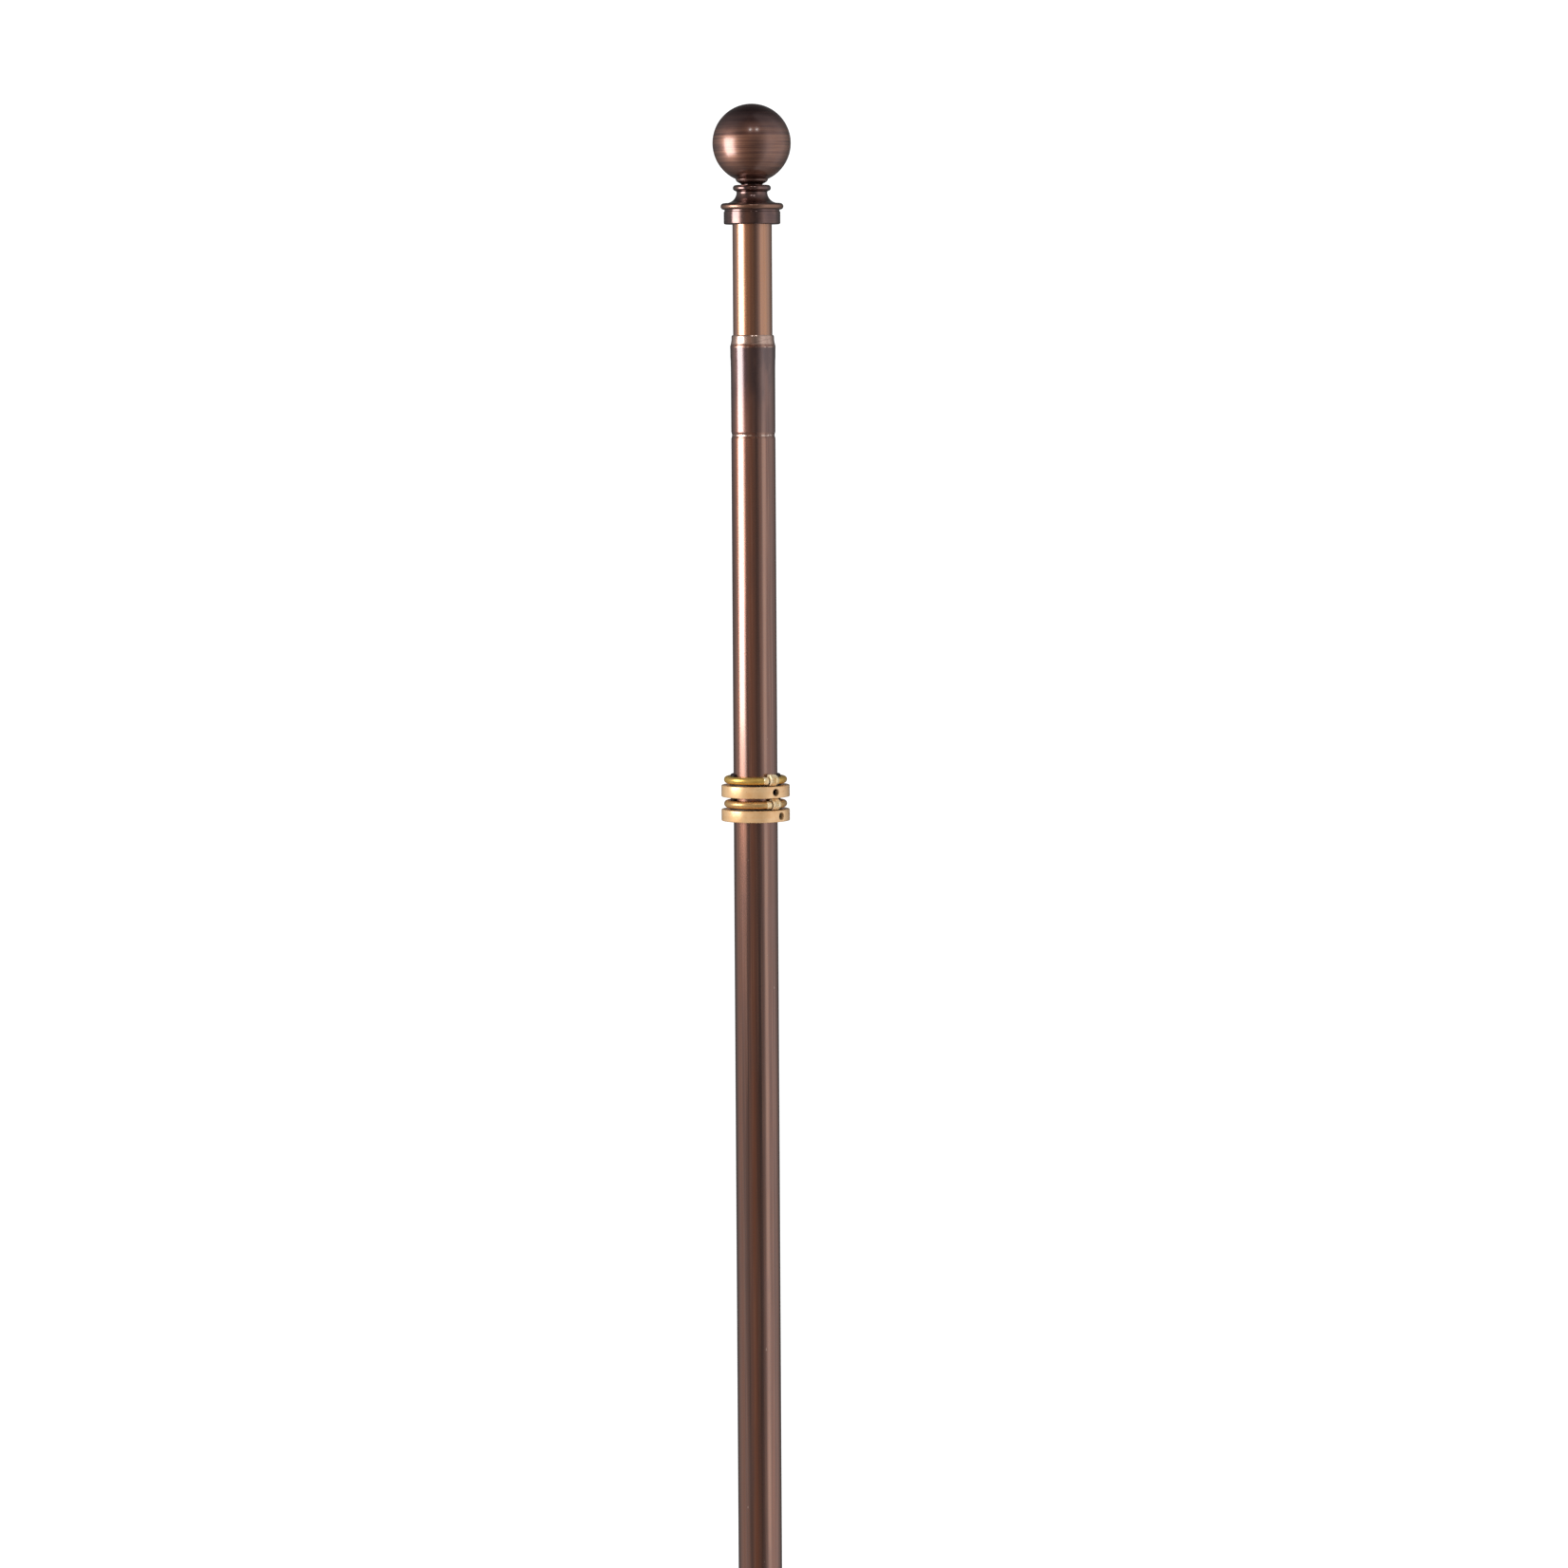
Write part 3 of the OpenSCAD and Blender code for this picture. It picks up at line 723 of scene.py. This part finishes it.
def copper_tube_finish():
    """Antique copper, brushed along the tube: dark patina rubbed back in streaks, with painted reflection
    stripes.
    """
    f = Finish("antique_copper_tube", Metallic=1.0, Coat_Weight=1.0, Coat_Roughness=0.1, Coat_IOR=1.95)
    broad = f.noise((260, 260, 3), 3, 0.55, (3.1, 0.4, 0.2))
    streak = f.noise((900, 900, 7), 4, 0.6, (0.3, 7.7, 1.3))
    fine = f.noise((4200, 4200, 30), 3, 0.6)
    cloud = f.noise((70, 70, 22), 4, 0.6, (5, 2, 8))
    colour = f.mix(f.between(broad, 0.38, 0.62), rgb(0.22, 0.088, 0.056), rgb(0.43, 0.182, 0.115))
    # Painted reflection: light and dark stripes at fixed bearings from the front, where the tube mirrors
    # bright and dim parts of the room.
    colour = f.painted_reflection_stripes(colour, (
        (9, 4, 3, 0.6, rgb(0.16, 0.07, 0.055)),
        (27, 5, 3, 0.55, rgb(0.62, 0.34, 0.23)),
        (-50, 8, 5, 0.6, rgb(0.50, 0.185, 0.095)),
        (-8, 7, 5, 0.55, rgb(0.40, 0.135, 0.065)),
    ))
    colour = f.mix(f.between(streak, 0.46, 0.72, 0, 0.7), colour, rgb(0.52, 0.265, 0.185))
    colour = f.mix(f.between(cloud, 0.45, 0.75, 0, 0.5), colour, rgb(0.30, 0.145, 0.115))
    colour = f.mix(f.between(fine, 0.3, 0.7, 0, 0.22), colour, rgb(0.19, 0.085, 0.060))
    smooth = f.band(BUSH_Z + 1.5, LIP_Z - 7, 0.6)
    patch = f.noise((120, 120, 30), 4, 0.6, (9, 1, 4))
    plum = f.mix(f.between(patch, 0.4, 0.7), rgb(0.125, 0.062, 0.062), rgb(0.25, 0.125, 0.100))
    ragged = f.calc("ADD", f.height(), f.calc("MULTIPLY", streak, 20 * MM))
    dark = f.between(ragged, (LIP_Z - 38) * MM, (LIP_Z - 12) * MM, 0.5)
    colour = f.mix(f.calc("MULTIPLY", smooth, dark), colour, plum)
    rubbed = f.noise((400, 400, 260), 4, 0.65, (1, 3, 5))
    neck = f.band(LIP_Z - 5.2, LIP_Z + 2, 0.5)
    neck = f.calc("MULTIPLY", neck, f.between(rubbed, 0.25, 0.5, 0.55, 1))
    colour = f.mix(neck, colour, rgb(0.72, 0.48, 0.38))
    colour = f.mix(f.scratch(LIP_Z - 3.4, 22, 30, 0.045, 0.14), colour, rgb(0.28, 0.15, 0.11))
    colour = f.mix(f.scratch(LIP_Z - 2.3, 30, 16, -0.06, 0.10), colour, rgb(0.34, 0.19, 0.14))
    # A pale line along the bottom of the upper groove, broken up by noise.
    groove_line = f.calc("MULTIPLY", f.band(BUSH_Z - 0.45, BUSH_Z + 0.45, 0.25), f.between(rubbed, 0.42, 0.6))
    colour = f.mix(groove_line, colour, rgb(0.82, 0.66, 0.57))
    shoulder = f.calc("MULTIPLY", f.band(LIP_Z - 7.1, LIP_Z - 6.7, 0.15), f.between(rubbed, 0.5, 0.62))
    colour = f.mix(shoulder, colour, rgb(0.80, 0.60, 0.50))
    nick = f.between(f.noise((620, 620, 260), 2, 0.5, (4, 4, 2)), 0.775, 0.79)
    colour = f.mix(nick, colour, rgb(0.85, 0.62, 0.50))
    f.set("Base Color", colour)
    rough = f.between(streak, 0.25, 0.75, 0.21, 0.32)
    f.set("Roughness", f.calc("ADD", rough, f.calc("MULTIPLY", smooth, 0.06)))
    dents = f.bump(cloud, 0.06)
    f.set("Normal", f.bump(fine, 0.008, f.bump(streak, 0.02, dents)))
    return f.material


def bright_tube_finish():
    """Lighter brushed copper of the sliding tube, where the patina is thin, with painted reflection
    stripes.
    """
    f = Finish("bright_copper_tube", Metallic=1.0, Coat_Weight=1.0, Coat_Roughness=0.1, Coat_IOR=2.0)
    broad = f.noise((300, 300, 3), 3, 0.55, (1.5, 2.5, 0.3))
    streak = f.noise((1100, 1100, 8), 4, 0.6, (6, 1, 1))
    fine = f.noise((4600, 4600, 30), 3, 0.6)
    colour = f.mix(f.between(broad, 0.35, 0.65), rgb(0.48, 0.190, 0.080), rgb(0.66, 0.30, 0.145))
    # Painted reflection: light and dark stripes at fixed bearings from the front, where the tube mirrors
    # bright and dim parts of the room.
    colour = f.painted_reflection_stripes(colour, (
        (14, 8, 4, 0.7, rgb(0.27, 0.115, 0.09)),
        (-66, 14, 8, 0.6, rgb(0.44, 0.27, 0.24)),
        (56, 9, 6, 0.6, rgb(0.34, 0.17, 0.11)),
    ))
    colour = f.mix(f.between(streak, 0.45, 0.75, 0, 0.7), colour, rgb(0.42, 0.18, 0.10))
    colour = f.mix(f.between(fine, 0.3, 0.7, 0, 0.2), colour, rgb(0.88, 0.54, 0.36))
    f.set("Base Color", colour)
    f.set("Roughness", f.between(streak, 0.25, 0.75, 0.22, 0.33))
    f.set("Normal", f.bump(fine, 0.007, f.bump(streak, 0.015)))
    return f.material


def turned_copper_finish():
    """Dark lathe-turned copper of the cap and neck, with fine tool rings and rubbed beads."""
    f = Finish("turned_copper", Metallic=1.0, Coat_Weight=0.8, Coat_Roughness=0.12)
    cloud = f.noise((110, 110, 110), 4, 0.6, (2, 2, 6))
    rings = f.noise((20, 20, 3200), 3, 0.6)
    colour = f.mix(f.between(cloud, 0.35, 0.7), rgb(0.165, 0.100, 0.098), rgb(0.26, 0.145, 0.120))
    colour = f.mix(f.between(rings, 0.5, 0.75, 0, 0.4), colour, rgb(0.36, 0.21, 0.16))
    bead = f.band(CAP_Z + CAP_H + STEP_H + 0.4, CAP_Z + CAP_H + STEP_H + 2.6, 0.4)
    colour = f.mix(f.calc("MULTIPLY", bead, 0.75), colour, rgb(0.46, 0.25, 0.165))
    f.set("Base Color", colour)
    cove = f.band(CAP_Z + 12.4, CAP_Z + 16.4, 0.8)
    satin = f.calc("MULTIPLY", f.calc("MAXIMUM", bead, cove), 0.16)
    f.set("Roughness", f.calc("ADD", f.between(cloud, 0.3, 0.7, 0.14, 0.24), satin))
    f.set("Normal", f.bump(rings, 0.01, f.bump(cloud, 0.04)))
    return f.material


def ball_finish():
    """Copper ball brushed round its axis, with painted shade darkening it towards the top and at its foot.
    """
    f = Finish("brushed_copper_ball", Metallic=1.0, Coat_Weight=1.0, Coat_Roughness=0.19, Coat_IOR=1.75)
    lines = f.noise((9, 9, 620), 5, 0.7, (2, 5, 3))
    fine = f.noise((30, 30, 2600), 4, 0.65)
    cloud = f.noise((45, 45, 60), 4, 0.6, (7, 3, 1))
    colour = f.mix(f.between(lines, 0.38, 0.62), rgb(0.20, 0.085, 0.062), rgb(0.42, 0.20, 0.13))
    colour = f.mix(f.between(cloud, 0.45, 0.75, 0, 0.6), colour, rgb(0.23, 0.120, 0.105))
    colour = f.mix(f.between(fine, 0.45, 0.8, 0, 0.5), colour, rgb(0.48, 0.26, 0.19))
    z = f.height()
    # Painted shade: the colour darkens towards the top of the ball.
    dark = f.between(z, (CAP_Z + BALL_Z + 2) * MM, (CAP_Z + BALL_Z + 16) * MM, 0, 0.7)
    colour = f.mix(dark, colour, rgb(0.15, 0.085, 0.100))
    # Painted shade: the colour darkens near the ball's foot, where it meets the neck.
    foot = f.between(z, (CAP_Z + SEAT_TOP) * MM, (CAP_Z + SEAT_TOP + 7) * MM, 0.8, 0)
    colour = f.mix(foot, colour, rgb(0.12, 0.070, 0.065))
    f.set("Base Color", colour)
    f.set("Roughness", f.between(lines, 0.3, 0.7, 0.34, 0.46))
    f.set("Normal", f.bump(fine, 0.012, f.bump(lines, 0.03)))
    return f.material


def satin_gold_finish():
    """Pinkish satin gold of the clamping collars, turned and lightly tarnished; painted shade in the screw
    holes.
    """
    f = Finish("satin_gold_collar", Metallic=0.62, Coat_Weight=0.8, Coat_Roughness=0.14, Coat_IOR=1.8)
    rings = f.noise((25, 25, 2400), 4, 0.6)
    cloud = f.noise((160, 160, 160), 4, 0.6, (3, 1, 1))
    specks = f.between(f.noise((900, 900, 900), 2, 0.5, (1, 1, 9)), 0.70, 0.76)
    colour = f.mix(f.between(cloud, 0.35, 0.7), rgb(0.96, 0.62, 0.31), rgb(0.84, 0.48, 0.205))
    colour = f.mix(f.between(rings, 0.4, 0.7, 0, 0.35), colour, rgb(0.93, 0.66, 0.39))
    colour = f.mix(f.calc("MULTIPLY", specks, 0.6), colour, rgb(0.35, 0.18, 0.07))
    for mark, (screw_bearing, _) in RING_SETS.items():
        # Painted shade: the collar is darkened round and inside each set screw's hole.
        hole = f.beside_line(screw_bearing, collar_middle(mark), SCREW_R + 0.02, 0.1)
        colour = f.mix(hole, colour, rgb(0.025, 0.014, 0.008))
    f.set("Base Color", colour)
    f.set("Roughness", f.between(cloud, 0.3, 0.7, 0.27, 0.36))
    f.set("Normal", f.bump(rings, 0.012, f.bump(cloud, 0.03)))
    return f.material


def hoop_gold_finish():
    """Yellow gold plate on the wire hoops, a little worn, with painted shade making the lower hoop darker.
    """
    f = Finish("gold_plated_hoop", Metallic=0.8)
    cloud = f.noise((190, 190, 190), 4, 0.6, (8, 1, 2))
    grain = f.noise((1500, 1500, 1500), 3, 0.6)
    colour = f.mix(f.between(cloud, 0.35, 0.7), rgb(0.86, 0.56, 0.15), rgb(0.70, 0.42, 0.10))
    colour = f.mix(f.between(grain, 0.5, 0.8, 0, 0.4), colour, rgb(0.88, 0.66, 0.28))
    # Painted shade: the lower hoop, under the upper collar, is tinted darker and pinker.
    lower_hoop_shade = f.band(collar_middle("b"), collar_middle("b") + 9, 0.2)
    colour = f.mix(f.calc("MULTIPLY", lower_hoop_shade, 0.6), colour, rgb(0.70, 0.44, 0.24))
    f.set("Base Color", colour)
    f.set("Roughness", f.between(cloud, 0.3, 0.7, 0.24, 0.36))
    f.set("Normal", f.bump(grain, 0.006, f.bump(cloud, 0.03)))
    return f.material


def bright_gold_finish():
    """Pale polished gold of the clasp pieces."""
    f = Finish("polished_gold_clasp", Metallic=0.6)
    cloud = f.noise((300, 300, 300), 2, 0.5, (1, 8, 2))
    grain = f.noise((2400, 2400, 2400), 3, 0.6)
    colour = f.mix(f.between(cloud, 0.35, 0.7), rgb(1.0, 0.86, 0.60), rgb(0.92, 0.68, 0.35))
    f.set("Base Color", colour)
    f.set("Roughness", f.between(grain, 0.3, 0.7, 0.2, 0.32))
    f.set("Normal", f.bump(grain, 0.003, f.bump(cloud, 0.03)))
    return f.material


def steel_finish(name, light, dark, rough):
    """Plain metal, finely grained, with soft clouds between a light and a dark tone."""
    f = Finish(name, Metallic=1.0)
    cloud = f.noise((260, 260, 260), 4, 0.6, (2, 4, 2))
    grain = f.noise((1900, 1900, 1900), 3, 0.6)
    f.set("Base Color", f.mix(f.between(cloud, 0.35, 0.7), light, dark))
    f.set("Roughness", f.between(grain, 0.3, 0.7, rough - 0.06, rough + 0.08))
    f.set("Normal", f.bump(grain, 0.006, f.bump(cloud, 0.02)))
    return f.material


def moulded_finish(name, light, dark, rough):
    """Moulded plastic: faint flow clouds and a fine grain."""
    f = Finish(name, Metallic=0.0)
    cloud = f.noise((90, 90, 90), 4, 0.6, (6, 4, 2))
    grain = f.noise((3200, 3200, 3200), 3, 0.6)
    f.set("Base Color", f.mix(f.between(cloud, 0.3, 0.7), light, dark))
    f.set("Roughness", f.between(grain, 0.3, 0.7, rough - 0.07, rough + 0.07))
    f.set("Normal", f.bump(grain, 0.02, f.bump(cloud, 0.05)))
    return f.material


FINISHES = {
    "copper_tube": copper_tube_finish(),
    "bright_copper_tube": bright_tube_finish(),
    "copper_turned": turned_copper_finish(),
    "copper_ball": ball_finish(),
    "satin_gold": satin_gold_finish(),
    "gold_hoop": hoop_gold_finish(),
    "bright_gold": bright_gold_finish(),
    "dark_steel": steel_finish(
        "black_oxide_steel", rgb(0.045, 0.04, 0.038), rgb(0.02, 0.018, 0.017), 0.42
    ),
    "plain_steel": steel_finish("turned_steel", rgb(0.56, 0.56, 0.55), rgb(0.42, 0.42, 0.42), 0.34),
    "plain_metal": steel_finish("zinc_plated_steel", rgb(0.62, 0.62, 0.60), rgb(0.48, 0.48, 0.47), 0.3),
    "black_nylon": moulded_finish("black_nylon", rgb(0.016, 0.011, 0.009), rgb(0.028, 0.020, 0.017), 0.5),
    "acetal": moulded_finish("natural_acetal", rgb(0.66, 0.64, 0.58), rgb(0.58, 0.56, 0.50), 0.42),
}


# ---- The pieces ------------------------------------------------------------------------------------------
SLOTS = {part["node"]: part["material_slot"] for part in frame["record"]["subparts"]}


def finish(piece, node):
    """Replaces a CAD node by a piece, with the finish of the node's record slot."""
    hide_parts(node)
    piece.data.materials.clear()
    piece.data.materials.append(FINISHES[SLOTS[node]])


def put(piece, node):
    """Replaces a CAD node by a piece that rides on the node's body."""
    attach(piece, frame["nodes"][node]["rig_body"])
    finish(piece, node)


put(outer_tube(), "outer_tube")
put(inner_tube(), "inner_tube")
put(foot_plug(), "foot_plug")
put(finial_cap(), "finial_cap")
put(finial_neck(), "finial_neck")
put(finial_ball(), "finial_ball")

for mark, (screw_bearing, clasp_bearing) in RING_SETS.items():
    start = f"ring_{mark}_"
    z = collar_middle(mark)
    for part, make, bearing in (
        ("sleeve", ring_sleeve, screw_bearing),
        ("collar", ring_collar, screw_bearing),
        ("set_screw", set_screw, screw_bearing),
        ("hoop", ring_hoop, clasp_bearing),
        ("socket", ring_socket, clasp_bearing),
        ("slider", ring_slider, clasp_bearing),
    ):
        put(make(start + part + "_skin", z, bearing), start + part)
    spring = ring_spring(start + "spring_skin", z, clasp_bearing)
    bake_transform(spring)
    finish(spring, start + "spring")

# The CAD nodes that stay in the picture get the same finishes
for name, node in frame["nodes"].items():
    if not node.hide_render:
        node.data.materials.clear()
        node.data.materials.append(FINISHES[SLOTS[name]])


# ---- Floor, light and camera -----------------------------------------------------------------------------
def floor():
    """Pale floor just under the foot. It is left out of reflections, which the room stands for."""
    half = 6
    mesh = bpy.data.meshes.new("floor")
    corners = [(-half, -half, 0), (half, -half, 0), (half, half, 0), (-half, half, 0)]
    mesh.from_pydata(corners, [], [(0, 1, 2, 3)])
    made = bpy.data.objects.new("floor", mesh)
    made.location.z = -0.0001
    bpy.context.scene.collection.objects.link(made)
    f = Finish("pale_floor", Metallic=0.0, Roughness=0.9, Specular_IOR_Level=0.0)
    f.set("Base Color", f.mix(f.noise((6, 6, 6), 4, 0.6), rgb(0.97, 0.97, 0.97), rgb(0.94, 0.94, 0.94)))
    mesh.materials.append(f.material)
    made.visible_glossy = False


def panel(name, azimuth, distance, width, height, middle_z, radiance):
    """Upright soft light that faces the pole. Its azimuth is in degrees from the front towards +X, its
    sizes are in metres, and its radiance is on the scale of the world's strength."""
    light = bpy.data.lights.new(name, "AREA")
    light.shape = "RECTANGLE"
    light.size = width
    light.size_y = height
    # An area light shines with a quarter of its watts a square metre
    light.energy = radiance * 4 * width * height
    made = bpy.data.objects.new(name, light)
    a = math.radians(azimuth)
    made.location = (distance * math.sin(a), -distance * math.cos(a), middle_z)
    inward = Vector((-math.sin(a), math.cos(a), 0))
    made.rotation_euler = inward.to_track_quat("-Z", "Y").to_euler()
    made.visible_camera = False
    bpy.context.scene.collection.objects.link(made)


# What polished metal sees of the dim room: (azimuth from the front towards +X, brightness, warmth)
ROOM = (
    (-90, 0.34, 0),
    (-74, 0.42, 0),
    (-60, 0.32, 0),
    (-47, 0.21, 0),
    (-35, 0.22, 0.3),
    (-23, 0.29, 1),
    (-11, 0.24, 0.9),
    (0, 0.18, 0.5),
    (11, 0.13, 0.3),
    (22, 0.16, 0),
    (31, 0.27, 0),
    (41, 0.45, 0),
    (50, 0.74, 0),
    (61, 0.72, 0),
    (72, 0.62, 0),
    (89, 0.60, 0),
    (106, 0.58, 0),
    (124, 0.28, 0),
    (145, 0.12, 0),
    (210, 0.10, 0),
    (232, 0.22, 0),
    (254, 0.36, 0),
)


def colour_ramp(nodes, points):
    """Eased colour ramp through (place, colour) points."""
    ramp = nodes.new("ShaderNodeValToRGB")
    ramp.color_ramp.interpolation = "EASE"
    stops = ramp.color_ramp.elements
    stops.remove(stops[1])
    for i, (at, colour) in enumerate(points):
        stop = stops[0] if i == 0 else stops.new(at)
        stop.position = at
        stop.color = colour
    return ramp


def studio():
    """White surroundings, a dim room for reflections, soft panels on the left, and two small lights in
    front for glints on the ball."""
    world = bpy.data.worlds.new("studio")
    world.use_nodes = True
    world.cycles.sampling_method = "NONE"
    tree = world.node_tree
    nodes, join = tree.nodes, tree.links.new
    way = nodes.new("ShaderNodeTexCoord")
    around = nodes.new("ShaderNodeTexGradient")
    around.gradient_type = "RADIAL"
    join(way.outputs["Generated"], around.inputs["Vector"])
    walls = []
    # Warm parts of the room have less green, and less blue still
    for azimuth, level, warmth in ROOM:
        tint = rgb(level, level * (0.97 - 0.25 * warmth), level * (0.97 - 0.4 * warmth))
        walls.append((0.25 + azimuth / 360, tint))
    walls.append((1, walls[0][1]))
    ramp = colour_ramp(nodes, walls)
    join(around.outputs["Fac"], ramp.inputs["Fac"])
    steep = nodes.new("ShaderNodeSeparateXYZ")
    join(way.outputs["Generated"], steep.inputs["Vector"])
    tones = ((0.05, 0.6), (0.3, 1), (0.64, 1), (0.8, 0.62), (0.97, 0.32))
    fade = colour_ramp(nodes, [(at, rgb(level, level, level)) for at, level in tones])
    half = nodes.new("ShaderNodeMapRange")
    join(steep.outputs["Z"], half.inputs["Value"])
    half.inputs["From Min"].default_value = -1
    join(half.outputs["Result"], fade.inputs["Fac"])
    dimmed = nodes.new("ShaderNodeMix")
    dimmed.data_type = "RGBA"
    dimmed.blend_type = "MULTIPLY"
    dimmed.inputs["Factor"].default_value = 1
    join(ramp.outputs["Color"], dimmed.inputs[6])
    join(fade.outputs["Color"], dimmed.inputs[7])
    room = nodes["Background"]
    join(dimmed.outputs[2], room.inputs["Color"])
    white = nodes.new("ShaderNodeBackground")
    white.inputs["Color"].default_value = rgb(1, 1, 1)
    white.inputs["Strength"].default_value = 1.15
    path = nodes.new("ShaderNodeLightPath")
    choose = nodes.new("ShaderNodeMixShader")
    join(path.outputs["Is Glossy Ray"], choose.inputs["Fac"])
    join(white.outputs[0], choose.inputs[1])
    join(room.outputs[0], choose.inputs[2])
    join(choose.outputs[0], nodes["World Output"].inputs["Surface"])
    bpy.context.scene.world = world
    panel("softbox_core", -70, 0.70, 0.38, 0.51, 0.84, 3.1)
    panel("softbox_rim", -69, 0.71, 0.54, 0.60, 0.84, 1.4)
    panel("glint_left", -4, 1.5, 0.07, 0.05, 2.13, 90)
    panel("glint_right", 19, 1.5, 0.07, 0.05, 2.13, 90)


def camera():
    """Camera in front of the pole, level with its upper end and turned slightly down. Distances are in
    metres and angles in degrees."""
    distance = 3.2
    height = 0.85
    pitch = 4.677
    roll = -0.33
    aside = 0.0164
    field = 16.02
    data = bpy.data.cameras.new("camera")
    data.sensor_width = 36
    data.lens = data.sensor_width / 2 / math.tan(math.radians(field / 2))
    data.clip_start = 0.05
    made = bpy.data.objects.new("camera", data)
    aim = Matrix.Rotation(math.radians(90 - pitch), 4, "X") @ Matrix.Rotation(math.radians(roll), 4, "Z")
    made.matrix_world = Matrix.Translation((aside, -distance, height)) @ aim
    bpy.context.scene.collection.objects.link(made)
    bpy.context.scene.camera = made


floor()
studio()
camera()
bpy.context.scene.view_settings.view_transform = "Standard"
